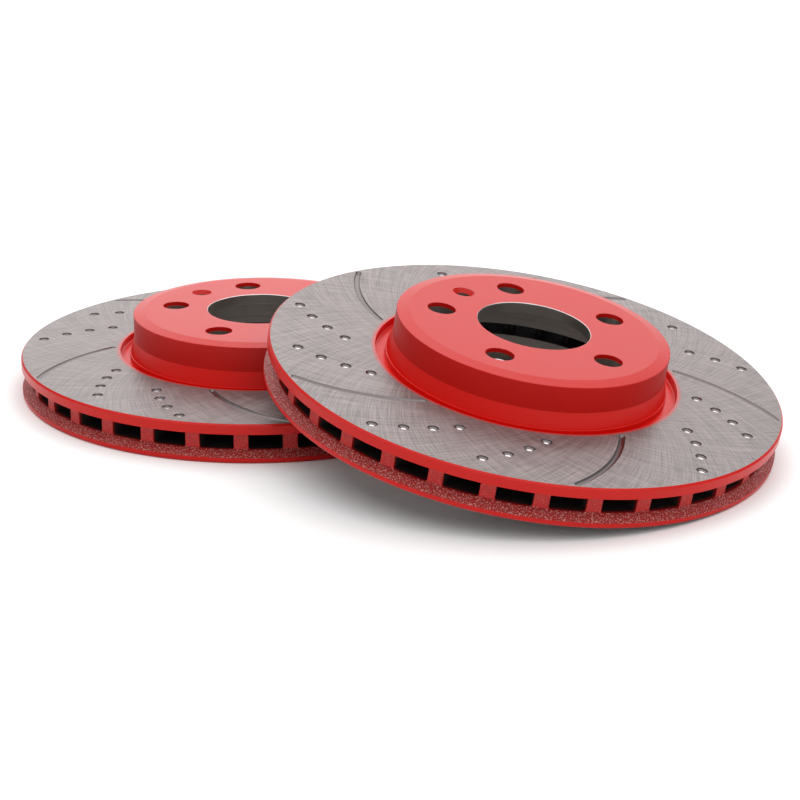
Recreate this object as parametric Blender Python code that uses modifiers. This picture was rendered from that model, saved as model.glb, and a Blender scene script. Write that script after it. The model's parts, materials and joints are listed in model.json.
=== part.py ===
"""A pair of vented brake discs, one flat on the floor and one leaning on it.

Each disc is a single grey iron casting. It is built here in three regions, with a
thin gap between them: the hat (the bell that bolts to the hub), the outboard
friction ring, and the inboard friction ring with its cooling vanes. A disc is
drawn with its inboard face on z = 0 and its axis on z. Then it is placed, with
the floor at z = 0 and the origin under the middle of the pair.
"""
import math

import bmesh
import bpy
from mathutils import Matrix, Vector

MM = 0.001
GAP = 0.3 * MM                  # left between regions, and between the two discs
STEPS = 64                      # facets round each turned shape

# Friction rings
OUTER_R = 156.0 * MM
THICKNESS = 24.5 * MM
EDGE = 1.1 * MM                 # chamfer on the rim's outer corners
FACE_R = OUTER_R - EDGE
OUTBOARD_PLATE = 7.2 * MM
INBOARD_PLATE = 6.7 * MM
RIM_BAND = 6.5 * MM             # smooth band at full radius above the vents
CAST_BAND_Z = 3.3 * MM          # where the sloping cast band meets the lower rim
INBOARD_BORE_R = 85.8 * MM

# Cooling vanes
VANE_COUNT = 32
VANE_TIP_R = 150.0 * MM
VANE_ROOT_R = 91.4 * MM
VANE_TIP_WIDTH = 8.8 * MM
VANE_ROOT_WIDTH = 5.1 * MM
VANE_BITE = 0.5 * MM            # how far a vane is sunk into the inboard plate

# Hat
HAT_TOP_Z = 50.3 * MM
HAT_FLAT_R = 75.2 * MM
HAT_R = 82.6 * MM
SHOULDER_Z = 48.9 * MM
WAIST_Z = 33.3 * MM             # where the straight wall meets the drafted wall
FOOT_R = 85.6 * MM
FOOT_Z = 23.5 * MM              # low edge of the drafted wall, just under the friction face
FOOT_LEDGE = 0.5 * MM
HAT_INNER_R = 77.4 * MM
HAT_PLATE = 6.7 * MM
INNER_FILLET = 3.3 * MM
BORE_R = 34.1 * MM
BORE_CHAMFER = 0.4 * MM

# Groove between the hat's foot and the friction face
GROOVE_DEPTH = 4.7 * MM
GROOVE_OUT_R = 91.8 * MM
GROOVE_CHAMFER = 0.2 * MM

# Holes in the hat's top
PITCH_R = 56.0 * MM
BOLT_COUNT = 5
BOLT_R = 8.5 * MM
SCREW_R = 4.5 * MM
SCREW_SINK_R = 6.8 * MM
SCREW_SINK_DEPTH = 2.6 * MM
BOLT_TURN = math.radians(65.7)
HOLE_STEPS = 24

# Slots and dimples in the outboard friction face
SECTORS = (0, 6, 13, 19, 25)    # vane pitches from the first sector to each one
ROW_DIMPLES = 4
DIMPLE_R = 3.3 * MM
DIMPLE_DEPTH = 2.4 * MM
DIMPLE_FIRST_R = (145.4 * MM, 139.2 * MM)
DIMPLE_R_STEP = 11.8 * MM
ROW_LEAD = math.radians(26.2)   # from a sector's first row to its second
DIMPLE_TURN = math.radians(5.4)
SLOT_COUNT = 5
SLOT_OUT_R = 151.9 * MM
SLOT_IN_R = 96.8 * MM
SLOT_SWEEP = math.radians(24.0)
SLOT_ARC_R = 114.8 * MM
SLOT_WIDTH = 3.8 * MM
SLOT_DEPTH = 1.1 * MM
SLOT_LEAD = math.radians(42.1)  # from the first sector's start to the next slot

# Pose of the pair
TILT = math.radians(10.27)

RED_PAINT = ((0.55, 0.03, 0.025, 1.0), 0.35, 0.0)
GROUND_IRON = ((0.36, 0.33, 0.32, 1.0), 0.38, 0.9)


def clear_scene():
    for obj in list(bpy.data.objects):
        bpy.data.objects.remove(obj, do_unlink=True)


def new_collection(name):
    collection = bpy.data.collections.new(name)
    bpy.context.scene.collection.children.link(collection)
    return collection


def new_material(name, finish):
    color, roughness, metallic = finish
    material = bpy.data.materials.new(name)
    material.use_nodes = True
    shader = material.node_tree.nodes["Principled BSDF"]
    shader.inputs["Base Color"].default_value = color
    shader.inputs["Roughness"].default_value = roughness
    shader.inputs["Metallic"].default_value = metallic
    return material


def polar(radius, angle, z=0.0):
    return Vector((radius * math.cos(angle), radius * math.sin(angle), z))


def mesh_object(name, shape, collection):
    """Make an object in a collection from a bmesh, and free the bmesh."""
    mesh = bpy.data.meshes.new(name)
    shape.to_mesh(mesh)
    shape.free()
    obj = bpy.data.objects.new(name, mesh)
    collection.objects.link(obj)
    return obj


def turned(name, profile, collection):
    """Turn a closed (radius, z) outline, listed down its outer side first, round z."""
    shape = bmesh.new()
    corners = [shape.verts.new((radius, 0.0, z)) for radius, z in profile]
    for index, corner in enumerate(corners):
        shape.edges.new((corner, corners[(index + 1) % len(corners)]))
    obj = mesh_object(name, shape, collection)
    screw = obj.modifiers.new("turn", 'SCREW')
    screw.axis = 'Z'
    screw.angle = math.tau
    screw.steps = STEPS
    screw.render_steps = STEPS
    screw.use_merge_vertices = True
    screw.merge_threshold = 0.01 * MM
    return obj


def combine(obj, tool, operation):
    modifier = obj.modifiers.new(tool.name, 'BOOLEAN')
    modifier.operation = operation
    modifier.solver = 'EXACT'
    modifier.object = tool


def hide_tool(obj):
    obj.hide_render = True
    obj.display_type = 'WIRE'
    return obj


def add_cylinder(shape, radius_low, radius_high, depth, centre, segments):
    bmesh.ops.create_cone(shape, cap_ends=True, segments=segments, radius1=radius_low,
                          radius2=radius_high, depth=depth,
                          matrix=Matrix.Translation(centre))


def hat_holes(prefix, tools):
    """Cutter for the five wheel-bolt holes and the countersunk fixing-screw hole."""
    shape = bmesh.new()
    middle_z = HAT_TOP_Z - HAT_PLATE / 2
    for index in range(BOLT_COUNT):
        angle = BOLT_TURN + index * math.tau / BOLT_COUNT
        add_cylinder(shape, BOLT_R, BOLT_R, 2 * HAT_PLATE, polar(PITCH_R, angle, middle_z), HOLE_STEPS)
    between_bolts = BOLT_TURN + 1.5 * math.tau / BOLT_COUNT
    add_cylinder(shape, SCREW_R, SCREW_R, 2 * HAT_PLATE, polar(PITCH_R, between_bolts, middle_z), HOLE_STEPS)
    return hide_tool(mesh_object(prefix + "_hole_cutter", shape, tools))


def screw_sink(prefix, tools):
    """Cutter for the countersink, a cone that runs on above the hat's top face."""
    above = 0.5 * MM
    slope = (SCREW_SINK_R - SCREW_R) / SCREW_SINK_DEPTH
    between_bolts = BOLT_TURN + 1.5 * math.tau / BOLT_COUNT
    depth = SCREW_SINK_DEPTH + above
    centre = polar(PITCH_R, between_bolts, HAT_TOP_Z + above - depth / 2)
    shape = bmesh.new()
    add_cylinder(shape, SCREW_R, SCREW_SINK_R + slope * above, depth, centre, HOLE_STEPS)
    return hide_tool(mesh_object(prefix + "_sink_cutter", shape, tools))


def make_hat(prefix, parts, tools):
    under_z = THICKNESS - OUTBOARD_PLATE
    inside_z = HAT_TOP_Z - HAT_PLATE
    profile = [
        (HAT_FLAT_R, HAT_TOP_Z),
        (HAT_R, SHOULDER_Z),
        (HAT_R, WAIST_Z),
        (FOOT_R - FOOT_LEDGE, FOOT_Z),
        (FOOT_R, FOOT_Z),
        (FOOT_R, under_z),
        (HAT_INNER_R, under_z),
        (HAT_INNER_R, inside_z - INNER_FILLET),
        (HAT_INNER_R - INNER_FILLET, inside_z),
        (BORE_R, inside_z),
        (BORE_R, HAT_TOP_Z - BORE_CHAMFER),
        (BORE_R + BORE_CHAMFER, HAT_TOP_Z),
    ]
    hat = turned(prefix + "_hat", profile, parts)
    combine(hat, hat_holes(prefix, tools), 'DIFFERENCE')
    combine(hat, screw_sink(prefix, tools), 'DIFFERENCE')
    return hat


def dimple_cutter(prefix, turn, hand, tools):
    """Cones for the rows of dimples, two rows in each sector of the face."""
    above = 0.5 * MM
    depth = DIMPLE_DEPTH + above
    top_r = DIMPLE_R * depth / DIMPLE_DEPTH
    middle_z = THICKNESS + above - depth / 2
    shape = bmesh.new()
    for sector in SECTORS:
        for row, first_r in enumerate(DIMPLE_FIRST_R):
            for index in range(ROW_DIMPLES):
                swept = sector * math.tau / VANE_COUNT + row * ROW_LEAD + index * DIMPLE_TURN
                centre = polar(first_r - index * DIMPLE_R_STEP, turn + hand * swept, middle_z)
                add_cylinder(shape, 0.0, top_r, depth, centre, 8)
    return hide_tool(mesh_object(prefix + "_dimple_cutter", shape, tools))


def slot_centre(start, end):
    """Centre of the arc of SLOT_ARC_R through both ends, bulging away from the axis."""
    middle = (start + end) / 2
    chord = end - start
    rise = math.sqrt(SLOT_ARC_R ** 2 - chord.length_squared / 4)
    aside = Vector((-chord.y, chord.x, 0.0)).normalized()
    if aside.dot(middle) > 0:
        aside.negate()
    return middle + rise * aside


def slot_outline(start, end):
    """Outline of one slot: two concentric arcs joined by round ends."""
    centre = slot_centre(start, end)
    first = math.atan2(start.y - centre.y, start.x - centre.x)
    last = math.atan2(end.y - centre.y, end.x - centre.x)
    turn = math.remainder(last - first, math.tau)
    way = math.copysign(1.0, turn)
    half = SLOT_WIDTH / 2
    outline = []
    for index in range(9):
        outline.append(centre + polar(SLOT_ARC_R + half, first + turn * index / 8))
    for index in range(1, 4):
        outline.append(end + polar(half, last + way * math.pi * index / 4))
    for index in range(9):
        outline.append(centre + polar(SLOT_ARC_R - half, last - turn * index / 8))
    for index in range(1, 4):
        outline.append(start + polar(half, first + math.pi + way * math.pi * index / 4))
    return outline


def slot_cutter(prefix, turn, hand, tools):
    """Cutter for the swept slots: filled flat outlines given a depth, made a mesh."""
    curve = bpy.data.curves.new(prefix + "_slots", 'CURVE')
    curve.dimensions = '2D'
    curve.fill_mode = 'BOTH'
    curve.extrude = SLOT_DEPTH
    for index in range(SLOT_COUNT):
        angle = turn + hand * (SLOT_LEAD + index * math.tau / SLOT_COUNT)
        start = polar(SLOT_OUT_R, angle)
        end = polar(SLOT_IN_R, angle + hand * SLOT_SWEEP)
        outline = slot_outline(start, end)
        spline = curve.splines.new('POLY')
        spline.points.add(len(outline) - 1)
        for point, place in zip(spline.points, outline):
            point.co = (place.x, place.y, 0.0, 1.0)
        spline.use_cyclic_u = True
    drawn = bpy.data.objects.new(prefix + "_slots", curve)
    drawn.location.z = THICKNESS
    tools.objects.link(drawn)
    bpy.context.view_layer.update()
    seen = drawn.evaluated_get(bpy.context.evaluated_depsgraph_get())
    mesh = bpy.data.meshes.new_from_object(seen)
    shape = bmesh.new()
    shape.from_mesh(mesh)
    bmesh.ops.remove_doubles(shape, verts=shape.verts, dist=0.01 * MM)
    bmesh.ops.recalc_face_normals(shape, faces=shape.faces)
    bpy.data.meshes.remove(mesh)
    cutter = mesh_object(prefix + "_slot_cutter", shape, tools)
    cutter.matrix_world = drawn.matrix_world
    bpy.data.objects.remove(drawn, do_unlink=True)
    return hide_tool(cutter)


def make_outboard_ring(prefix, turn, hand, parts, tools):
    floor_z = THICKNESS - GROOVE_DEPTH
    under_z = THICKNESS - OUTBOARD_PLATE
    inner_r = FOOT_R + GAP
    profile = [
        (FACE_R, THICKNESS),
        (OUTER_R, THICKNESS - EDGE),
        (OUTER_R, THICKNESS - RIM_BAND),
        (VANE_TIP_R, under_z),
        (inner_r, under_z),
        (inner_r, floor_z),
        (GROOVE_OUT_R, floor_z),
        (GROOVE_OUT_R, THICKNESS - GROOVE_CHAMFER),
        (GROOVE_OUT_R + GROOVE_CHAMFER, THICKNESS),
    ]
    ring = turned(prefix + "_outboard_ring", profile, parts)
    combine(ring, dimple_cutter(prefix, turn, hand, tools), 'DIFFERENCE')
    combine(ring, slot_cutter(prefix, turn, hand, tools), 'DIFFERENCE')
    return ring


def vanes(prefix, turn, tools):
    """All vanes as tapered blocks, standing in the inboard plate, to be joined to it."""
    low_z = INBOARD_PLATE - VANE_BITE
    high_z = THICKNESS - OUTBOARD_PLATE - GAP
    length = VANE_TIP_R - VANE_ROOT_R
    size = Matrix.Diagonal((length, 1.0, high_z - low_z, 1.0))
    place = Matrix.Translation(((VANE_TIP_R + VANE_ROOT_R) / 2, 0.0, (low_z + high_z) / 2))
    shape = bmesh.new()
    for index in range(VANE_COUNT):
        made = bmesh.ops.create_cube(shape, size=1.0, matrix=place @ size)["verts"]
        for vert in made:
            width = VANE_TIP_WIDTH if vert.co.x > (VANE_TIP_R + VANE_ROOT_R) / 2 else VANE_ROOT_WIDTH
            vert.co.y *= width
        around = Matrix.Rotation(turn + index * math.tau / VANE_COUNT, 4, 'Z')
        bmesh.ops.transform(shape, matrix=around, verts=made)
    return hide_tool(mesh_object(prefix + "_vane_blocks", shape, tools))


def make_inboard_ring(prefix, vane_turn, parts, tools):
    profile = [
        (VANE_TIP_R, INBOARD_PLATE),
        (OUTER_R, CAST_BAND_Z),
        (OUTER_R, EDGE),
        (FACE_R, 0.0),
        (INBOARD_BORE_R, 0.0),
        (INBOARD_BORE_R, INBOARD_PLATE),
    ]
    ring = turned(prefix + "_vaned_inboard_ring", profile, parts)
    combine(ring, vanes(prefix, vane_turn, tools), 'UNION')
    return ring


def finish(obj, finish_values):
    obj.data.materials.append(new_material(obj.name, finish_values))
    bpy.context.view_layer.update()
    obj.data.shade_smooth()
    obj.data.set_sharp_from_angle(angle=math.radians(30))


def make_disc(prefix, pattern_turn, hand, vane_turn, parts, tools):
    """One disc on its own axis, its regions and cutters parented to one empty."""
    hub = bpy.data.objects.new(prefix + "_disc", None)
    parts.objects.link(hub)
    hat = make_hat(prefix, parts, tools)
    outboard = make_outboard_ring(prefix, pattern_turn, hand, parts, tools)
    inboard = make_inboard_ring(prefix, vane_turn, parts, tools)
    finish(hat, RED_PAINT)
    finish(outboard, GROUND_IRON)
    finish(inboard, RED_PAINT)
    for obj in list(parts.objects) + list(tools.objects):
        if obj is not hub and obj.name.startswith(prefix + "_"):
            obj.parent = hub
    return hub


def leaning_centre():
    """Centre of the leaning disc's inboard face, from where it touches.

    Its low edge stands on the floor, and its inboard face lies GAP above the
    first corner of the other disc's hat that it meets, whose axis is at x = 0.
    """
    height = FACE_R * math.sin(TILT)
    across = 0.0
    for corner_r, corner_z in ((HAT_FLAT_R, HAT_TOP_Z), (HAT_R, SHOULDER_Z)):
        rise = (corner_z - height) * math.cos(TILT) + GAP
        across = max(across, corner_r + rise / math.sin(TILT))
    return Vector((across, 0.0, height))


def main():
    clear_scene()
    parts = new_collection("brake_disc_pair")
    tools = new_collection("cutters")
    flat = make_disc("flat", math.radians(-2.6), -1, math.radians(1.05), parts, tools)
    leaning = make_disc("leaning", math.radians(199.0), 1, math.radians(2.95), parts, tools)

    centre = leaning_centre()
    reach = OUTER_R * math.cos(TILT) + (THICKNESS - EDGE) * math.sin(TILT)
    middle_x = (centre.x + reach - OUTER_R) / 2
    flat.location = (-middle_x, 0.0, 0.0)
    leaning.location = centre - Vector((middle_x, 0.0, 0.0))
    leaning.rotation_euler = (0.0, TILT, 0.0)
    bpy.context.view_layer.update()


main()
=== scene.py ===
"""Vented brake discs: one lies flat, and one leans on it.

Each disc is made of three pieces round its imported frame: the hat shell, the
outboard friction ring and the vaned inboard ring. A piece is drawn with its
disc's inboard face on z = 0 and the disc's axis on z, then put in its place.
"""
import json
import math

import bmesh
import bpy
from bpy.props import FloatProperty, FloatVectorProperty, IntProperty, PointerProperty
from mathutils import Matrix, Vector


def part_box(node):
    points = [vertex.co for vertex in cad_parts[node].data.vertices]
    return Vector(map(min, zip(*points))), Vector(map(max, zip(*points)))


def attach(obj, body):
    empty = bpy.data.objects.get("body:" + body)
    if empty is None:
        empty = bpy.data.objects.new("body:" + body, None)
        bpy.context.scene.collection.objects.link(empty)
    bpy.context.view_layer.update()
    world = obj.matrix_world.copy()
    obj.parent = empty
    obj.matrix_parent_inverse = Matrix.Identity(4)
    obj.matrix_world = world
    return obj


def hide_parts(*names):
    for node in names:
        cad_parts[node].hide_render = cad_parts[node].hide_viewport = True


bl_info = {
    "name": "Vented Brake Discs",
    "version": (1, 0, 0),
    "blender": (4, 5, 0),
    "location": "3D View > Sidebar > Brake Discs",
    "description": "Builds a pair of slotted and dimpled vented brake discs and a studio",
    "category": "Add Mesh",
}

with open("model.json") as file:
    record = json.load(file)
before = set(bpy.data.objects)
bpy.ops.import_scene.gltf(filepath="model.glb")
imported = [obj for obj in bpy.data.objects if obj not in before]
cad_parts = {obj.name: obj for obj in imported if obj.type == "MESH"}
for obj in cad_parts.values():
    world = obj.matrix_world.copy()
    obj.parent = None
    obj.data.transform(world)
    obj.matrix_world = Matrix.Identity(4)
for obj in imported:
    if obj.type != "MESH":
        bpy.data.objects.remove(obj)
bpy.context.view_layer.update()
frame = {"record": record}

MM = 0.001
TURN_STEPS = 256                # facets round each turned piece
RING_LOW, RING_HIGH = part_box("flat_outboard_ring")
HAT_LOW, HAT_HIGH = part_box("flat_hat")
THICKNESS = RING_HIGH.z
OUTER_R = (RING_HIGH.x - RING_LOW.x) / 2
FOOT_R = (HAT_HIGH.x - HAT_LOW.x) / 2
HAT_TOP_Z = HAT_HIGH.z
EDGE = 1.1 * MM
FACE_R = OUTER_R - EDGE
RIM_BAND_Z = 18.0 * MM          # low edge of the smooth band above the vents
VENT_ROOF_Z = 17.3 * MM
VENT_FLOOR_Z = 6.7 * MM
CAST_BAND_Z = 3.3 * MM          # where the sloping cast band meets the lower rim
VANE_TIP_R = 150.0 * MM
VANE_ROOT_R = 91.4 * MM
INBOARD_BORE_R = 85.8 * MM
HAT_FLAT_R = 75.2 * MM
HAT_R = 82.6 * MM
SHOULDER_Z = 48.9 * MM
WAIST_Z = 33.3 * MM
FOOT_Z = 23.5 * MM
FOOT_LEDGE = 0.5 * MM
HAT_INNER_R = 77.4 * MM
PLATE_Z = 43.6 * MM             # underside of the hat's top plate
BORE_R = 34.1 * MM
GROOVE_OUT_R = 91.8 * MM
GROOVE_DEPTH = 4.7 * MM
GROOVE_CHAMFER = 0.2 * MM
INNER_FILLET = 3.3 * MM         # inside the hat, under its top plate
BOLT_CIRCLE_R = 56.0 * MM
BOLT_HOLES = 5
FIRST_BOLT = math.radians(65.7)
HOLE_REACH = 9.0 * MM           # how far the hole cutters go down
SINK_DEPTH = 2.6 * MM           # of the fixing screw's countersink
FACE_LINES_R = (107.0 * MM, 124.0 * MM, 140.0 * MM)     # rings that divide the wide faces
VENT_LINE_R = 117.0 * MM
DIMPLE_FIRST_R = (145.4 * MM, 139.2 * MM)               # outermost dimple of each row
DIMPLE_R_STEP = 11.8 * MM
DIMPLE_TURN = math.radians(5.4)
ROW_TURN = math.radians(26.2)
DIMPLES_IN_ROW = 4
SLOTS = 5
FIRST_SLOT = math.radians(42.1)
SLOT_SWEEP = math.radians(24.0)
SLOT_OUT_R = 151.9 * MM
SLOT_IN_R = 96.8 * MM
SLOT_ARC_R = 114.8 * MM
BALL_TURNS = (0.02, 0.3, 0.6, 0.9, 1.2)                 # round a slot's ball-shaped end
CUT_DEPTH = 2.6 * MM            # below which no slot or dimple reaches
CAMERA_PLACE = (0.6963, -0.9681, 0.4156)
VANE_PITCH = math.tau / 32
SECTORS = (0, 6, 13, 19, 25)    # vane pitches from the first sector of dimples to each one


def flat_place():
    """Where the flat disc's inboard face has its centre."""
    return Matrix.Translation(((HAT_LOW.x + HAT_HIGH.x) / 2, (HAT_LOW.y + HAT_HIGH.y) / 2, 0.0))


def leaning_place():
    """Where the leaning disc's inboard face has its centre, and how it is tilted."""
    axis = Vector((0.0, 0.0, 1.0))
    for mount in frame["record"]["mounts"]:
        if mount["name"] == "leaning_wheel_face":
            axis = Vector(mount["axis"])
    tilt = math.atan2(axis.x, axis.z)
    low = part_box("leaning_vaned_inboard_ring")[0]
    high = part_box("leaning_outboard_ring")[1]
    x = high.x - OUTER_R * math.cos(tilt) - (THICKNESS - EDGE) * math.sin(tilt)
    z = low.z + FACE_R * math.sin(tilt)
    return Matrix.Translation((x, 0.0, z)) @ Matrix.Rotation(tilt, 4, 'Y')


class Disc:
    """One disc's body, its place, and how its pattern is turned on it."""

    def __init__(self, name, place, hand, pattern_turn, vane_turn):
        self.name = name
        self.body = name + "_disc"
        self.place = place
        self.hand = hand
        self.pattern_turn = math.radians(pattern_turn)
        self.vane_turn = math.radians(vane_turn)


DISCS = (
    Disc("flat", flat_place(), -1, -2.6, 1.05),
    Disc("leaning", leaning_place(), 1, 199.0, 2.95),
)


# Settings that a user would change

def size(name, value, description):
    return FloatProperty(name=name, description=description, default=value, min=0.0,
                         subtype='DISTANCE', unit='LENGTH')


def colour(name, value, description):
    return FloatVectorProperty(name=name, description=description, default=value, size=3,
                               min=0.0, max=1.0, subtype='COLOR')


def share(name, value, description):
    return FloatProperty(name=name, description=description, default=value, min=0.0,
                         max=1.0, subtype='FACTOR')


class BrakeDiscSizes(bpy.types.PropertyGroup):
    """Sizes of the disc's edges, holes, slots, dimples and vanes."""

    shoulder: size("Shoulder", 0.45 * MM, "Radius of the rounded edge round the hat's top")
    bore_edge: size("Bore edge", 0.5 * MM, "Radius of the bright rounded edge of the bore")
    foot: size("Foot", 0.28 * MM, "Radius of the rounded edge at the hat's foot")
    bolt_hole: size("Bolt hole", 8.5 * MM, "Radius of the wheel-bolt holes")
    screw_hole: size("Screw hole", 4.5 * MM, "Radius of the fixing-screw hole")
    screw_sink: size("Countersink", 6.8 * MM, "Radius of the fixing screw's countersink")
    bolt_circle: size("Bolt circle", BOLT_CIRCLE_R, "Radius of the circle of wheel bolts")
    slot_width: size("Slot width", 3.8 * MM, "Width of the slots at the friction face")
    slot_depth: size("Slot depth", 1.1 * MM, "Depth of the slots")
    dimple: size("Dimple", 3.3 * MM, "Radius of the drilled dimples at the friction face")
    dimple_depth: size("Dimple depth", 2.4 * MM, "Depth of the drilled dimples")
    # Below this depth a dimple takes the bright iron, a painted highlight; above it the dark iron,
    # painted shade.
    highlight_depth: size("Bright tip", 1.35 * MM, "Depth from which a dimple's tip is bright")
    vane_tip: size("Vane tip", 8.8 * MM, "Width of a cooling vane at the rim")
    vane_root: size("Vane root", 5.1 * MM, "Width of a cooling vane at its inner end")
    vane_fillet: size("Vane fillet", 1.2 * MM, "Fillet between a vane and the rings")
    vanes: IntProperty(name="Vanes", description="How many cooling vanes a disc has",
                       default=32, min=8, max=72)


class BrakeDiscFinish(bpy.types.PropertyGroup):
    """Colours and gloss of the paint and the iron."""

    paint: colour("Paint", (0.52, 0.006, 0.003), "Colour of the satin paint")
    paint_gloss: share("Paint roughness", 0.32, "Roughness of the satin paint")
    ground: colour("Ground iron", (0.225, 0.193, 0.19), "Colour of the ground friction faces")
    ground_rough: share("Ground roughness", 0.42, "Roughness of the ground friction faces")
    # The milled colour also paints the shade on the dimples' steep walls, and the drilled colour
    # paints the highlight at their tips.
    milled: colour("Milled iron", (0.16, 0.138, 0.136), "Colour of the slots and dimple walls")
    drilled: colour("Drilled iron", (0.62, 0.59, 0.58), "Colour of the bright dimple tips")
    turned: colour("Turned iron", (0.26, 0.235, 0.21), "Colour of the bare iron in the hat")
    # The raw casting colour is near black: painted shade inside the vents.
    raw_and_painted_shade: colour("Raw casting", (0.010, 0.007, 0.007), "Colour of the casting in the vents")
    # The cast speckle colour is painted glints on the cast grains.
    painted_glint: colour("Cast speckle", (0.92, 0.42, 0.38), "Colour of bright grains in the paint")


class BrakeDiscStudio(bpy.types.PropertyGroup):
    """The floor, the light and the camera."""

    floor: share("Floor", 0.95, "How pale the floor is")
    world: FloatProperty(name="Room", description="Brightness of the light all round",
                         default=0.42, min=0.0)
    overhead: FloatProperty(name="Overhead", description="Strength of the broad light overhead",
                            default=2.45, min=0.0)
    backdrop: FloatProperty(name="Backdrop", description="Power of the soft lamp behind the discs",
                            default=14.5, min=0.0, unit='POWER')
    front: FloatProperty(name="Front lamp", description="Power of the soft lamp at front right",
                         default=2.2, min=0.0, unit='POWER')
    azimuth: FloatProperty(name="Azimuth", description="Camera's turn round the discs",
                           default=math.radians(35.26), subtype='ANGLE')
    elevation: FloatProperty(name="Elevation", description="Camera's height as an angle",
                             default=math.radians(18.885), subtype='ANGLE')
    roll: FloatProperty(name="Roll", description="Camera's turn about its own line of sight",
                        default=math.radians(0.574), subtype='ANGLE')
    lens: FloatProperty(name="Lens", description="Camera's focal length, in millimetres",
                        default=89.0, min=1.0, unit='CAMERA')


# Shader expressions

class Signal:
    """A shader socket that can be used in Python sums."""

    def __init__(self, graph, socket):
        self.graph = graph
        self.socket = socket

    def math(self, operation, first, second=None):
        values = {0: first} if second is None else {0: first, 1: second}
        return self.graph.node("ShaderNodeMath", {"operation": operation}, values)

    def __add__(self, other):
        return self.math('ADD', self, other)

    def __radd__(self, other):
        return self.math('ADD', other, self)

    def __sub__(self, other):
        return self.math('SUBTRACT', self, other)

    def __rsub__(self, other):
        return self.math('SUBTRACT', other, self)

    def __mul__(self, other):
        return self.math('MULTIPLY', self, other)

    def __rmul__(self, other):
        return self.math('MULTIPLY', other, self)

    def step(self, low, high):
        """0 up to low, 1 from high, and a smooth rise between them."""
        return self.graph.node(
            "ShaderNodeMapRange", {"interpolation_type": 'SMOOTHSTEP'},
            {"Value": self, "From Min": low, "From Max": high})


class Graph:
    """The nodes of one material, added by Python expressions."""

    def __init__(self, name):
        self.material = bpy.data.materials.new(name)
        self.material.use_nodes = True
        self.tree = self.material.node_tree
        self.shader = self.tree.nodes["Principled BSDF"]

    def node(self, kind, settings=None, sockets=None, output=0):
        """Add any node: its settings come first, then the values or links of its sockets."""
        node = self.tree.nodes.new(kind)
        for name, value in (settings or {}).items():
            setattr(node, name, value)
        for name, value in (sockets or {}).items():
            self.feed(node.inputs[name], value)
        return Signal(self, node.outputs[output])

    def feed(self, socket, value):
        if isinstance(value, Signal):
            self.tree.links.new(value.socket, socket)
        elif socket.type == 'RGBA' and len(value) == 3:
            socket.default_value = (*value, 1.0)
        else:
            socket.default_value = value

    def set(self, **sockets):
        """Feed the material's own shader: Base_Color for Base Color, and so on."""
        for name, value in sockets.items():
            self.feed(self.shader.inputs[name.replace("_", " ")], value)

    def place(self):
        return self.node("ShaderNodeTexCoord", output="Object")

    def axes(self, vector):
        """The x, y and z of a vector."""
        split = self.node("ShaderNodeSeparateXYZ", sockets={0: vector}).socket.node
        return [Signal(self, output) for output in split.outputs]

    def vector(self, x, y, z):
        return self.node("ShaderNodeCombineXYZ", sockets={0: x, 1: y, 2: z})

    def stretch(self, vector, factors):
        return self.node("ShaderNodeVectorMath", {"operation": 'MULTIPLY'},
                         {0: vector, 1: factors})

    def radius(self, vector):
        flat = self.stretch(vector, (1.0, 1.0, 0.0))
        return self.node("ShaderNodeVectorMath", {"operation": 'LENGTH'}, {0: flat}, "Value")

    def noise(self, vector, scale, detail=2.0, roughness=0.5):
        return self.node("ShaderNodeTexNoise", sockets={
            "Vector": vector, "Scale": scale, "Detail": detail, "Roughness": roughness})

    def mix(self, mask, first, second):
        """Colour first where mask is 0, and colour second where it is 1."""
        return self.node("ShaderNodeMix", {"data_type": 'RGBA'},
                         {0: mask, 6: first, 7: second}, output=2)

    def shade(self, color, factor):
        """A colour made lighter or darker by a factor."""
        return self.node("ShaderNodeVectorMath", {"operation": 'SCALE'},
                         {0: color, "Scale": factor})

    def bump(self, height, depth, strength=1.0):
        return self.node("ShaderNodeBump", sockets={
            "Height": height, "Distance": depth, "Strength": strength})


def satin_paint(finish):
    """Smooth satin paint, with the faint ripple of a sprayed coat, and painted light on the hat's
    lower wall and in the groove.
    """
    graph = Graph("satin_red_paint")
    place = graph.place()
    cloud = graph.noise(place, 26.0, 3.0)
    ripple = graph.noise(place, 900.0, 2.0)
    height = graph.axes(place)[2]
    # Painted light: below the hat's waist and near the hat, on the drafted lower wall and in the
    # groove, the paint colour is made about 30% lighter to stand for the light falling there.
    low = 1.0 - height.step(WAIST_Z - 0.4 * MM, WAIST_Z)
    painted_light_near_hat = 1.0 - graph.radius(place).step(GROOVE_OUT_R + 0.5 * MM, GROOVE_OUT_R + 1.5 * MM)
    graph.set(
        Base_Color=graph.shade(finish.paint, 0.94 + 0.12 * cloud + 0.3 * (low * painted_light_near_hat)),
        Roughness=finish.paint_gloss - 0.04 + 0.08 * cloud,
        IOR=1.31,
        Normal=graph.bump(ripple, 0.02 * MM, 0.5))
    return graph.material


def cast_paint(finish):
    """The same paint over a rough casting, with grains below the vents that carry painted glints.
    """
    graph = Graph("red_paint_on_casting")
    place = graph.place()
    lumps = graph.noise(place, 900.0, 3.0, 0.6)
    above = graph.axes(place)[2].step(VENT_FLOOR_Z, VENT_FLOOR_Z + 0.6 * MM)
    grains_and_glints = graph.noise(place, 1150.0, 2.0, 0.7).step(0.51, 0.6) * (1.0 - 0.85 * above)
    coat = graph.shade(finish.paint, 0.2 + 0.9 * lumps + 0.3 * above)
    # The pale grains mixed into the base colour are painted glints, standing for the sparkle of the
    # rough casting in the light.
    graph.set(
        Base_Color=graph.mix(grains_and_glints * 0.65, coat, finish.painted_glint),
        Roughness=0.34 + 0.2 * lumps,
        Normal=graph.bump(lumps + 0.6 * grains_and_glints, 0.6 * MM))
    return graph.material


def blend(mask, first, second):
    """Value first where mask is 0, and value second where it is 1."""
    return first * (1.0 - mask) + second * mask


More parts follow.
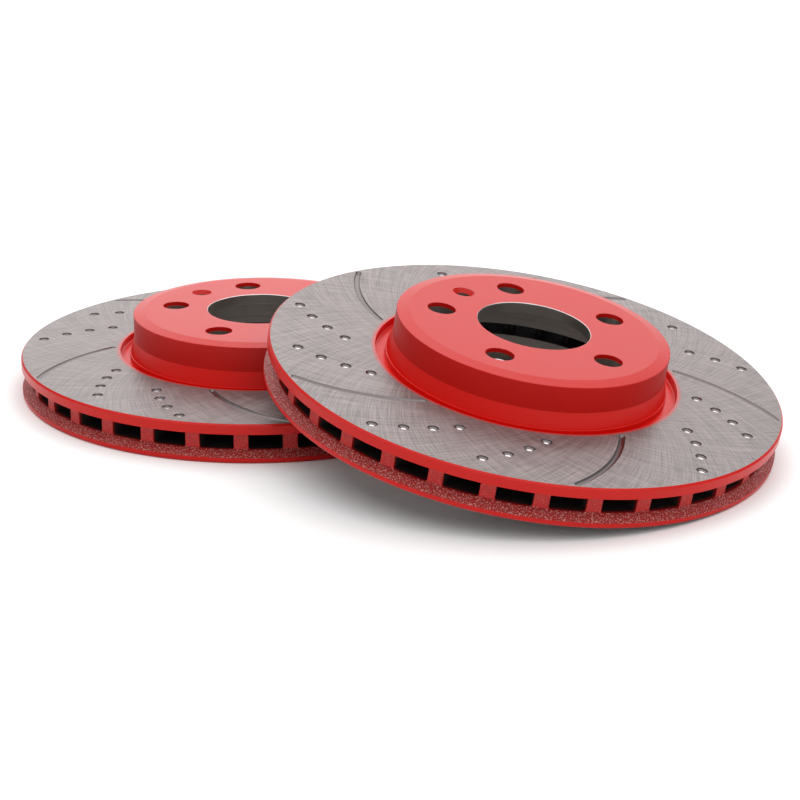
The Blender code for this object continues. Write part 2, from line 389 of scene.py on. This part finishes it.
def grinding_marks(graph, place, radius, lean, scale, seed):
    """Fine arcs that cross the face at a lean from the radius, with no seam."""
    around = graph.node("ShaderNodeVectorMath", {"operation": 'NORMALIZE'},
                        {0: graph.stretch(place, (1.0, 1.0, 0.0))})
    turn = lean * radius.math('LOGARITHM', radius * 10.0, math.e)
    turned = graph.node("ShaderNodeVectorRotate", {"rotation_type": 'Z_AXIS'},
                        {"Vector": around, "Angle": turn})
    drift = graph.vector(0.0, 0.0, radius * 0.3 + seed)
    line = graph.node("ShaderNodeVectorMath", {"operation": 'ADD'}, {0: turned, 1: drift})
    return graph.noise(line, scale, 2.0, 0.6)


def ground_iron(finish):
    """Ground friction face: two crossing families of arcs, and overspray by the groove."""
    graph = Graph("ground_iron")
    place = graph.place()
    radius = graph.radius(place)
    one = grinding_marks(graph, place, radius, 0.9, 180.0, 1.7).step(0.36, 0.64)
    other = grinding_marks(graph, place, radius, -0.9, 180.0, 5.1).step(0.36, 0.64)
    broad_one = grinding_marks(graph, place, radius, 0.9, 26.0, 3.3)
    broad_other = grinding_marks(graph, place, radius, -0.9, 26.0, 8.2)
    fine = grinding_marks(graph, place, radius, 0.75, 360.0, 4.4)
    marks = one * 0.4 + other * 0.4 + fine * 0.2
    broad = broad_one * 0.5 + broad_other * 0.5
    edge = graph.noise(place, 420.0, 2.0) * (0.9 * MM)
    painted = 1.0 - (radius + edge).step(GROOVE_OUT_R + 0.4 * MM, GROOVE_OUT_R + 3.8 * MM)
    metal = graph.shade(finish.ground, 0.06 + 1.2 * marks + 0.68 * broad)
    graph.set(
        Base_Color=graph.mix(painted, metal, finish.paint),
        Metallic=0.6 * (1.0 - painted),
        Roughness=blend(painted, finish.ground_rough - 0.1 + 0.2 * marks, finish.paint_gloss),
        Normal=graph.bump(marks, 0.02 * MM, 0.8))
    return graph.material


def cut_iron(name, color, smoothness):
    """Bare cut iron, with tool marks round the cut. It is made as a dark copy and a bright copy,
    which paint the shade on the dimples' steep walls and the highlight at their tips.
    """
    graph = Graph(name)
    place = graph.place()
    marks = graph.noise(graph.stretch(place, (1.0, 1.0, 6.0)), 700.0, 2.0)
    graph.set(
        Base_Color=graph.shade(color, 0.75 + 0.5 * marks),
        Metallic=1.0,
        Roughness=smoothness + 0.1 * marks,
        Normal=graph.bump(marks, 0.01 * MM, 0.5))
    return graph.material


def milled_iron(finish):
    """Dark iron in the slots, and painted shade on the steep walls of the dimples."""
    return cut_iron("milled_iron", finish.milled, 0.28)


def drilled_iron(finish):
    """Bright iron: a painted highlight at the tip of a dimple, and the bare rounded edge of the
    bore.
    """
    return cut_iron("drilled_iron", finish.drilled, 0.14)


def turned_iron(finish):
    """Bare turned iron inside the hat, with fine lines round the axis."""
    graph = Graph("turned_iron")
    place = graph.place()
    radius = graph.radius(place)
    height = graph.axes(place)[2]
    lines = graph.noise(graph.vector(0.0, 0.0, radius + height), 2600.0, 2.0, 0.6)
    stain = graph.noise(place, 60.0, 4.0, 0.6)
    graph.set(
        Base_Color=graph.shade(finish.turned, 0.6 + 0.4 * lines + 0.5 * stain),
        Metallic=0.85,
        Roughness=0.36 + 0.14 * stain,
        Normal=graph.bump(lines, 0.02 * MM, 0.6))
    return graph.material


def vent_casting(finish):
    """Raw casting in the vents, painted near black as the shade inside them, with paint that fades
    out just inside the mouth and is painted darker there as shade.
    """
    graph = Graph("vent_casting")
    place = graph.place()
    radius = graph.radius(place)
    lumps = graph.noise(place, 700.0, 3.0, 0.6)
    painted = (radius + lumps * (1.2 * MM)).step(VANE_TIP_R - 2.4 * MM, VANE_TIP_R + 0.3 * MM)
    # The near-black casting and the darkened paint at the mouth are painted shade.
    raw_and_painted_shade = graph.shade(finish.raw_and_painted_shade, 0.6 + 0.8 * lumps)
    graph.set(
        Base_Color=graph.mix(painted, raw_and_painted_shade, graph.shade(finish.paint, 0.6)),
        Roughness=0.75 - 0.3 * painted,
        Normal=graph.bump(lumps, 0.15 * MM, 0.7))
    return graph.material


FINISHES = {
    "paint": satin_paint,
    "cast": cast_paint,
    "ground": ground_iron,
    "milled": milled_iron,
    "drilled": drilled_iron,
    "turned": turned_iron,
    "vent": vent_casting,
}
made_finishes = {}


def finish_material(name, finish):
    """The material of that finish, made the first time it is asked for."""
    if name not in made_finishes:
        made_finishes[name] = FINISHES[name](finish)
    return made_finishes[name]


# Turned shapes, cutters and vanes

def polar(radius, angle, z=0.0):
    return Vector((radius * math.cos(angle), radius * math.sin(angle), z))


def rounded(corners):
    """Points of a closed outline given as (radius, z, fillet) corners."""
    points = []
    count = len(corners)
    for index, (radius, z, fillet) in enumerate(corners):
        corner = Vector((radius, z))
        if not fillet:
            points.append(corner)
            continue
        before = (Vector(corners[index - 1][:2]) - corner).normalized()
        after = (Vector(corners[(index + 1) % count][:2]) - corner).normalized()
        half = before.angle(after) / 2
        centre = corner + (before + after).normalized() * fillet / math.sin(half)
        start = corner + before * fillet / math.tan(half) - centre
        end = corner + after * fillet / math.tan(half) - centre
        first = math.atan2(start.y, start.x)
        sweep = math.remainder(math.atan2(end.y, end.x) - first, math.tau)
        steps = max(2, round(abs(sweep) / math.radians(18)))
        for step in range(steps + 1):
            angle = first + sweep * step / steps
            points.append(centre + fillet * Vector((math.cos(angle), math.sin(angle))))
    return points


def new_object(name, shape):
    """Link a new object that takes a bmesh, and free the bmesh."""
    bmesh.ops.recalc_face_normals(shape, faces=shape.faces)
    mesh = bpy.data.meshes.new(name)
    shape.to_mesh(mesh)
    shape.free()
    obj = bpy.data.objects.new(name, mesh)
    bpy.context.scene.collection.objects.link(obj)
    return obj


def turned_piece(name, corners):
    """Spin a closed outline round z."""
    shape = bmesh.new()
    outline = [shape.verts.new((point.x, 0.0, point.y)) for point in rounded(corners)]
    edges = [shape.edges.new((vert, outline[(index + 1) % len(outline)]))
             for index, vert in enumerate(outline)]
    bmesh.ops.spin(shape, geom=outline + edges, cent=(0, 0, 0), axis=(0, 0, 1), dvec=(0, 0, 0),
                   angle=math.tau, steps=TURN_STEPS, use_merge=True, use_duplicate=False)
    bmesh.ops.remove_doubles(shape, verts=shape.verts, dist=0.0005 * MM)
    return new_object(name, shape)


def loft(shape, rings):
    """Skin a row of closed rings of points, and close both ends."""
    rows = [[shape.verts.new(point) for point in ring] for ring in rings]
    for row, after in zip(rows, rows[1:]):
        for index, vert in enumerate(row):
            beside = (index + 1) % len(row)
            shape.faces.new((vert, row[beside], after[beside], after[index]))
    shape.faces.new(reversed(rows[0]))
    shape.faces.new(rows[-1])


def turned_tool(shape, centre, axis_up, outline, steps):
    """Add a small turned cutter, its (radius, depth) outline going down from the face."""
    rings = []
    for radius, depth in outline:
        ring = []
        for step in range(steps):
            around = polar(radius, math.tau * step / steps)
            ring.append(centre + around - Vector((0.0, 0.0, axis_up * depth)))
        rings.append(ring)
    loft(shape, rings)


def cut(obj, tool, operation='DIFFERENCE'):
    """Apply a Boolean with a tool, and remove the tool."""
    modifier = obj.modifiers.new(tool.name, 'BOOLEAN')
    modifier.operation = operation
    modifier.solver = 'EXACT'
    modifier.object = tool
    bpy.context.view_layer.update()
    seen = obj.evaluated_get(bpy.context.evaluated_depsgraph_get())
    mesh = bpy.data.meshes.new_from_object(seen)
    obj.modifiers.clear()
    old = obj.data
    obj.data = mesh
    bpy.data.meshes.remove(old)
    bpy.data.objects.remove(tool, do_unlink=True)


def hole_tool(sizes):
    """Cutter for the wheel-bolt holes and the countersunk screw hole in a hat's top."""
    shape = bmesh.new()
    bolt = sizes.bolt_hole
    bolt_outline = [(bolt + 1.15 * MM, -MM), (bolt, 0.15 * MM), (bolt, 2.6 * MM),
                    (bolt, HOLE_REACH)]
    screw = sizes.screw_hole
    slope = (sizes.screw_sink - screw) / SINK_DEPTH
    screw_outline = [(sizes.screw_sink + slope * MM, -MM), (screw, SINK_DEPTH),
                     (screw, HOLE_REACH)]
    for index in range(BOLT_HOLES):
        angle = FIRST_BOLT + index * math.tau / BOLT_HOLES
        turned_tool(shape, polar(sizes.bolt_circle, angle, HAT_TOP_Z), 1, bolt_outline, 64)
    between = FIRST_BOLT + 1.5 * math.tau / BOLT_HOLES
    turned_tool(shape, polar(sizes.bolt_circle, between, HAT_TOP_Z), 1, screw_outline, 48)
    return new_object("hole_tool", shape)


def add_dimples(shape, disc, sizes, face_z, up):
    """Drilled dimples, two rows in each sector: a steep wall down to a drill's point."""
    radius = sizes.dimple
    depth = sizes.dimple_depth
    outline = [(radius * 1.09, -0.3 * depth), (radius * 0.9, 0.32 * depth),
               (radius * 0.56, 0.62 * depth), (radius * 0.14, depth * 0.93), (radius * 0.03, depth)]
    for sector in SECTORS:
        for row, first_r in enumerate(DIMPLE_FIRST_R):
            for index in range(DIMPLES_IN_ROW):
                swept = sector * VANE_PITCH + row * ROW_TURN + index * DIMPLE_TURN
                angle = disc.pattern_turn + disc.hand * swept
                centre = polar(first_r - index * DIMPLE_R_STEP, angle, face_z)
                turned_tool(shape, centre, up, outline, 28)


def slot_path(start, end, bulge_r, steps):
    """Points and directions on the arc of bulge_r from start to end, bulging outward."""
    middle = (start + end) / 2
    chord = end - start
    rise = math.sqrt(bulge_r ** 2 - chord.length_squared / 4)
    aside = Vector((-chord.y, chord.x, 0.0)).normalized()
    if aside.dot(middle) > 0:
        aside.negate()
    centre = middle + rise * aside
    first = math.atan2(start.y - centre.y, start.x - centre.x)
    turn = math.remainder(math.atan2(end.y - centre.y, end.x - centre.x) - first, math.tau)
    way = math.copysign(1.0, turn)
    path = []
    for step in range(steps + 1):
        angle = first + turn * step / steps
        along = Vector((-math.sin(angle), math.cos(angle), 0.0)) * way
        path.append((centre + polar(bulge_r, angle), along))
    return path


def add_slots(shape, disc, sizes, face_z, up):
    """Swept slots cut by a ball-nosed mill, each a tube with round ends."""
    half = sizes.slot_width / 2
    deep = sizes.slot_depth
    ball = (half ** 2 + deep ** 2) / (2 * deep)
    lift = Vector((0.0, 0.0, up * (ball - deep)))
    for index in range(SLOTS):
        angle = disc.pattern_turn + disc.hand * (FIRST_SLOT + index * math.tau / SLOTS)
        start = polar(SLOT_OUT_R, angle)
        end = polar(SLOT_IN_R, angle + disc.hand * SLOT_SWEEP)
        path = slot_path(start, end, SLOT_ARC_R, 24)
        (first, first_way), (last, last_way) = path[0], path[-1]
        stations = [(first - first_way * ball * math.cos(turn), first_way, ball * math.sin(turn))
                    for turn in BALL_TURNS]
        stations += [(point, along, ball) for point, along in path]
        stations += [(last + last_way * ball * math.cos(turn), last_way, ball * math.sin(turn))
                     for turn in reversed(BALL_TURNS)]
        rings = []
        for point, along, radius in stations:
            side = Vector((along.y, -along.x, 0.0))
            base = point + lift + Vector((0.0, 0.0, face_z))
            rings.append([base + radius * (math.cos(turn) * side + Vector((0, 0, math.sin(turn))))
                          for turn in (math.tau * step / 32 for step in range(32))])
        loft(shape, rings)


def pattern_tool(disc, sizes, face_z, up):
    """Cutter for the slots and dimples of one friction face."""
    shape = bmesh.new()
    add_dimples(shape, disc, sizes, face_z, up)
    add_slots(shape, disc, sizes, face_z, up)
    return new_object("pattern_tool", shape)


def vane_section(radius, half, fillet, low, high):
    """One section of a vane: a web with a fillet where it meets each ring."""
    floor_z, roof_z = VENT_FLOOR_Z, VENT_ROOF_Z
    side = [(half + fillet, low)]
    for step in range(5):
        turn = math.pi / 2 * step / 4
        side.append((half + fillet * (1 - math.sin(turn)),
                     floor_z + fillet * (1 - math.cos(turn))))
    for step in range(5):
        turn = math.pi / 2 * (4 - step) / 4
        side.append((half + fillet * (1 - math.sin(turn)),
                     roof_z - fillet * (1 - math.cos(turn))))
    side.append((half + fillet, high))
    outline = side + [(-y, z) for y, z in reversed(side)]
    return [Vector((math.sqrt(radius ** 2 - y ** 2), y, z)) for y, z in outline]


def vane_set(disc, sizes):
    """All of a disc's vanes, which stand in the inboard ring."""
    shape = bmesh.new()
    root, tip = VANE_ROOT_R, VANE_TIP_R
    low, high = VENT_FLOOR_Z - 0.6 * MM, VENT_ROOF_Z + 0.1 * MM
    half_root, half_tip = sizes.vane_root / 2, sizes.vane_tip / 2
    stations = []
    for turn in (0.0, 0.35, 0.7, 1.05, 1.4):
        stations.append((root + half_root * (1 - math.cos(turn)),
                         half_root * math.sin(turn) + 0.05 * MM))
    stations.append((root + 4 * MM, half_root + 0.1 * MM))
    for part in (0.25, 0.5, 0.75):
        stations.append((root + (tip - root) * part, half_root + (half_tip - half_root) * part))
    stations.append((tip - 0.3 * MM, half_tip))
    stations.append((tip, half_tip - 0.25 * MM))
    section = [vane_section(radius, half, sizes.vane_fillet, low, high)
               for radius, half in stations]
    for index in range(sizes.vanes):
        spin = Matrix.Rotation(disc.vane_turn + index * math.tau / sizes.vanes, 4, 'Z')
        loft(shape, [[spin @ point for point in ring] for ring in section])
    return new_object("vane_set", shape)


def dress(obj, finish, names, choose):
    """Give each face the finish that choose names for its radius, height and normal."""
    for name in names:
        obj.data.materials.append(finish_material(name, finish))
    for face in obj.data.polygons:
        radius = math.hypot(face.center.x, face.center.y)
        face.material_index = names.index(choose(radius, face.center.z, face.normal))


def settle(obj, disc, node):
    """Shade a piece, put it in its disc's place and tie it to the frame."""
    obj.data.shade_smooth()
    obj.data.set_sharp_from_angle(angle=math.radians(32))
    weighted = obj.modifiers.new("flat_faces_stay_flat", 'WEIGHTED_NORMAL')
    weighted.keep_sharp = True
    obj.matrix_world = disc.place
    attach(obj, disc.body)
    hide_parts(node)


# The three pieces of a disc

def make_hat_shell(disc, sizes, finish):
    """The painted hat, hollow below, with its bore and holes."""
    lip_r = HAT_INNER_R + 0.4 * MM
    lip_z = VENT_ROOF_Z + 4.6 * MM
    corners = [
        (HAT_FLAT_R, HAT_TOP_Z, 0.8 * MM),
        (HAT_R, SHOULDER_Z, sizes.shoulder),
        (HAT_R, WAIST_Z, 0.45 * MM),
        (FOOT_R - FOOT_LEDGE, FOOT_Z, 0.1 * MM),
        (FOOT_R, FOOT_Z, sizes.foot),
        (FOOT_R, VENT_ROOF_Z, 0.0),
        (lip_r, VENT_ROOF_Z, 0.3 * MM),
        (lip_r, lip_z, 0.0),
        (HAT_INNER_R, lip_z + 0.4 * MM, 0.0),
        (HAT_INNER_R, PLATE_Z, INNER_FILLET),
        (BORE_R, PLATE_Z, 0.5 * MM),
        (BORE_R, HAT_TOP_Z, sizes.bore_edge),
        (BOLT_CIRCLE_R, HAT_TOP_Z, 0.0),
    ]
    shell = turned_piece(disc.name + "_hat_shell", corners)
    cut(shell, hole_tool(sizes))

    def choose(radius, z, normal):
        in_bore = radius < BORE_R + sizes.bore_edge and abs(normal.z) < 0.97
        inside = radius < lip_r + 0.1 * MM and z < PLATE_Z - 0.1 * MM
        under = radius < HAT_INNER_R - 1.5 * MM and normal.z < -0.9
        in_hole = radius < HAT_FLAT_R - MM and z < HAT_TOP_Z - 2.9 * MM
        if in_bore and z > HAT_TOP_Z - sizes.bore_edge:
            return "drilled"
        return "turned" if in_bore or inside or under or in_hole else "paint"

    dress(shell, finish, ["paint", "turned", "drilled"], choose)
    settle(shell, disc, disc.name + "_hat")


def make_friction_ring(disc, sizes, finish):
    """The outboard ring, with the groove round the hat, slots and dimples."""
    inner_line, middle_line, outer_line = FACE_LINES_R
    inner_r = FOOT_R - 0.05 * MM
    floor_z = THICKNESS - GROOVE_DEPTH
    corners = [
        (middle_line, THICKNESS, 0.0),
        (outer_line, THICKNESS, 0.0),
        (FACE_R, THICKNESS, 0.12 * MM),
        (OUTER_R, THICKNESS - EDGE, 0.3 * MM),
        (OUTER_R, RIM_BAND_Z, 0.4 * MM),
        (VANE_TIP_R, VENT_ROOF_Z, 0.45 * MM),
        (VENT_LINE_R, VENT_ROOF_Z, 0.0),
        (inner_r, VENT_ROOF_Z, 0.0),
        (inner_r, floor_z, 0.0),
        (GROOVE_OUT_R, floor_z, 1.0 * MM),
        (GROOVE_OUT_R, THICKNESS - GROOVE_CHAMFER, 0.08 * MM),
        (GROOVE_OUT_R + GROOVE_CHAMFER, THICKNESS, 0.08 * MM),
        (inner_line, THICKNESS, 0.0),
    ]
    ring = turned_piece(disc.name + "_friction_ring", corners)
    cut(ring, pattern_tool(disc, sizes, THICKNESS, 1))

    def choose(radius, z, normal):
        if z > THICKNESS - 0.001 * MM and normal.z > 0.99:
            return "ground"
        # On the cut faces the dark iron paints shade on the dimple walls above the highlight depth,
        # and the bright iron paints a highlight below it.
        if GROOVE_OUT_R + 0.5 * MM < radius < FACE_R - 0.4 * MM and z > VENT_ROOF_Z + MM:
            return "milled" if z > THICKNESS - sizes.highlight_depth else "drilled"
        # Faces inside the vents take the near-black casting, painted shade.
        if radius < VANE_TIP_R + 0.2 * MM and z < VENT_ROOF_Z + 0.5 * MM:
            return "vent"
        return "paint"

    dress(ring, finish, ["ground", "milled", "drilled", "vent", "paint"], choose)
    settle(ring, disc, disc.name + "_outboard_ring")


def make_vaned_ring(disc, sizes, finish):
    """The inboard ring and the vanes that stand on it."""
    inner_line, middle_line, outer_line = FACE_LINES_R
    corners = [
        (VANE_TIP_R, VENT_FLOOR_Z, 0.3 * MM),
        (OUTER_R, CAST_BAND_Z, 0.45 * MM),
        (OUTER_R, EDGE, 0.3 * MM),
        (FACE_R, 0.0, 0.12 * MM),
        (outer_line, 0.0, 0.0),
        (middle_line, 0.0, 0.0),
        (inner_line, 0.0, 0.0),
        (INBOARD_BORE_R, 0.0, 0.5 * MM),
        (INBOARD_BORE_R, VENT_FLOOR_Z, 0.5 * MM),
        (VENT_LINE_R, VENT_FLOOR_Z, 0.0),
    ]
    ring = turned_piece(disc.name + "_vaned_ring", corners)
    cut(ring, vane_set(disc, sizes), 'UNION')
    cut(ring, pattern_tool(disc, sizes, 0.0, -1))

    def choose(radius, z, normal):
        if z < 0.001 * MM and normal.z < -0.99:
            return "ground"
        # On the cut faces the dark iron paints shade on the dimple walls above the highlight depth,
        # and the bright iron paints a highlight below it.
        if INBOARD_BORE_R + MM < radius < FACE_R - 0.4 * MM and z < CUT_DEPTH:
            return "milled" if z < sizes.highlight_depth else "drilled"
        if radius > VANE_TIP_R - 0.2 * MM:
            return "cast" if CAST_BAND_Z < z < VENT_ROOF_Z - 0.1 * MM else "paint"
        # The rest, inside the vents, takes the near-black casting, painted shade.
        return "turned" if radius < INBOARD_BORE_R + 0.1 * MM else "vent"

    names = ["paint", "cast", "ground", "milled", "drilled", "turned", "vent"]
    dress(ring, finish, names, choose)
    settle(ring, disc, disc.name + "_vaned_inboard_ring")


# The studio

def make_floor(studio):
    """A wide plain floor under the discs."""
    shape = bmesh.new()
    bmesh.ops.create_grid(shape, x_segments=2, y_segments=2, size=8.0)
    floor = new_object("floor", shape)
    floor.location.z = -0.0001
    graph = Graph("pale_floor")
    graph.set(Base_Color=(studio.floor,) * 3, Roughness=0.9, Specular_IOR_Level=0.0)
    floor.data.materials.append(graph.material)


def make_world(studio):
    world = bpy.data.worlds.new("white_room")
    world.use_nodes = True
    background = world.node_tree.nodes["Background"]
    background.inputs["Color"].default_value = (1.0, 1.0, 1.0, 1.0)
    background.inputs["Strength"].default_value = studio.world
    bpy.context.scene.world = world


def add_lamp(data, place, aim):
    """Link a lamp that the camera itself doesn't see, and turn it to face its aim."""
    lamp = bpy.data.objects.new(data.name, data)
    lamp.location = place
    lamp.rotation_euler = (Vector(aim) - Vector(place)).to_track_quat('-Z', 'Y').to_euler()
    lamp.visible_camera = False
    bpy.context.scene.collection.objects.link(lamp)


def make_softbox(name, place, aim, width, power):
    data = bpy.data.lights.new(name, 'AREA')
    data.shape = 'DISK'
    data.size = width
    data.energy = power
    add_lamp(data, place, aim)


def make_overhead(strength):
    """A broad even light from above, as from a lit ceiling."""
    data = bpy.data.lights.new("overhead", 'SUN')
    data.energy = strength
    data.angle = math.radians(100)
    add_lamp(data, (0.2, 0.1, 3.0), (0.0, 0.0, 0.0))


def make_camera(studio):
    """The camera, aimed past the flat disc's face from one side."""
    azimuth, elevation = studio.azimuth, studio.elevation
    back = Vector((math.sin(azimuth) * math.cos(elevation),
                   -math.cos(azimuth) * math.cos(elevation), math.sin(elevation)))
    data = bpy.data.cameras.new("camera")
    data.sensor_width = 36.0
    data.lens = studio.lens
    data.clip_start = 0.05
    data.clip_end = 50.0
    camera = bpy.data.objects.new("camera", data)
    turn = (-back).to_track_quat('-Z', 'Y').to_matrix().to_4x4()
    place = Matrix.Translation(CAMERA_PLACE)
    camera.matrix_world = place @ turn @ Matrix.Rotation(studio.roll, 4, 'Z')
    bpy.context.scene.collection.objects.link(camera)
    bpy.context.scene.camera = camera


# Operators and the panel

class AddHatShells(bpy.types.Operator):
    """Make the painted hat of each disc"""

    bl_idname = "mesh.brake_disc_hat_shells"
    bl_label = "Hat Shells"
    bl_options = {'REGISTER', 'UNDO'}

    def execute(self, context):
        for disc in DISCS:
            make_hat_shell(disc, context.scene.brake_disc_sizes,
                           context.scene.brake_disc_finish)
        return {'FINISHED'}


class AddFrictionRings(bpy.types.Operator):
    """Make the outboard friction ring of each disc, with its slots and dimples"""

    bl_idname = "mesh.brake_disc_friction_rings"
    bl_label = "Friction Rings"
    bl_options = {'REGISTER', 'UNDO'}

    def execute(self, context):
        for disc in DISCS:
            make_friction_ring(disc, context.scene.brake_disc_sizes,
                               context.scene.brake_disc_finish)
        return {'FINISHED'}


class AddVanedRings(bpy.types.Operator):
    """Make the inboard ring of each disc, with its cooling vanes"""

    bl_idname = "mesh.brake_disc_vaned_rings"
    bl_label = "Vaned Rings"
    bl_options = {'REGISTER', 'UNDO'}

    def execute(self, context):
        for disc in DISCS:
            make_vaned_ring(disc, context.scene.brake_disc_sizes,
                            context.scene.brake_disc_finish)
        return {'FINISHED'}


class AddStudio(bpy.types.Operator):
    """Make the floor, the light and the camera"""

    bl_idname = "scene.brake_disc_studio"
    bl_label = "Studio"
    bl_options = {'REGISTER', 'UNDO'}

    def execute(self, context):
        studio = context.scene.brake_disc_studio
        make_floor(studio)
        make_world(studio)
        make_overhead(studio.overhead)
        make_softbox("backdrop", (-1.0, 1.4, 0.95), (0.0, 0.0, 0.0), 2.2, studio.backdrop)
        make_softbox("front", (1.3, -1.0, 0.9), (0.0, 0.0, 0.03), 0.8, studio.front)
        make_camera(studio)
        context.scene.view_settings.view_transform = 'Standard'
        return {'FINISHED'}


class BrakeDiscPanel(bpy.types.Panel):
    """Lists the steps that build the discs"""

    bl_idname = "VIEW3D_PT_brake_discs"
    bl_label = "Brake Discs"
    bl_space_type = 'VIEW_3D'
    bl_region_type = 'UI'
    bl_category = "Brake Discs"

    def draw(self, context):
        column = self.layout.column(align=True)
        for step in STEPS:
            column.operator(step.bl_idname)


STEPS = (AddHatShells, AddFrictionRings, AddVanedRings, AddStudio)
SETTINGS = {
    "brake_disc_sizes": BrakeDiscSizes,
    "brake_disc_finish": BrakeDiscFinish,
    "brake_disc_studio": BrakeDiscStudio,
}
CLASSES = (*SETTINGS.values(), *STEPS, BrakeDiscPanel)


def register():
    for cls in CLASSES:
        bpy.utils.register_class(cls)
    for name, group in SETTINGS.items():
        setattr(bpy.types.Scene, name, PointerProperty(type=group))


def unregister():
    for name in SETTINGS:
        delattr(bpy.types.Scene, name)
    for cls in reversed(CLASSES):
        bpy.utils.unregister_class(cls)


def main():
    register()
    bpy.ops.mesh.brake_disc_hat_shells()
    bpy.ops.mesh.brake_disc_friction_rings()
    bpy.ops.mesh.brake_disc_vaned_rings()
    bpy.ops.scene.brake_disc_studio()


if __name__ == "__main__":
    main()
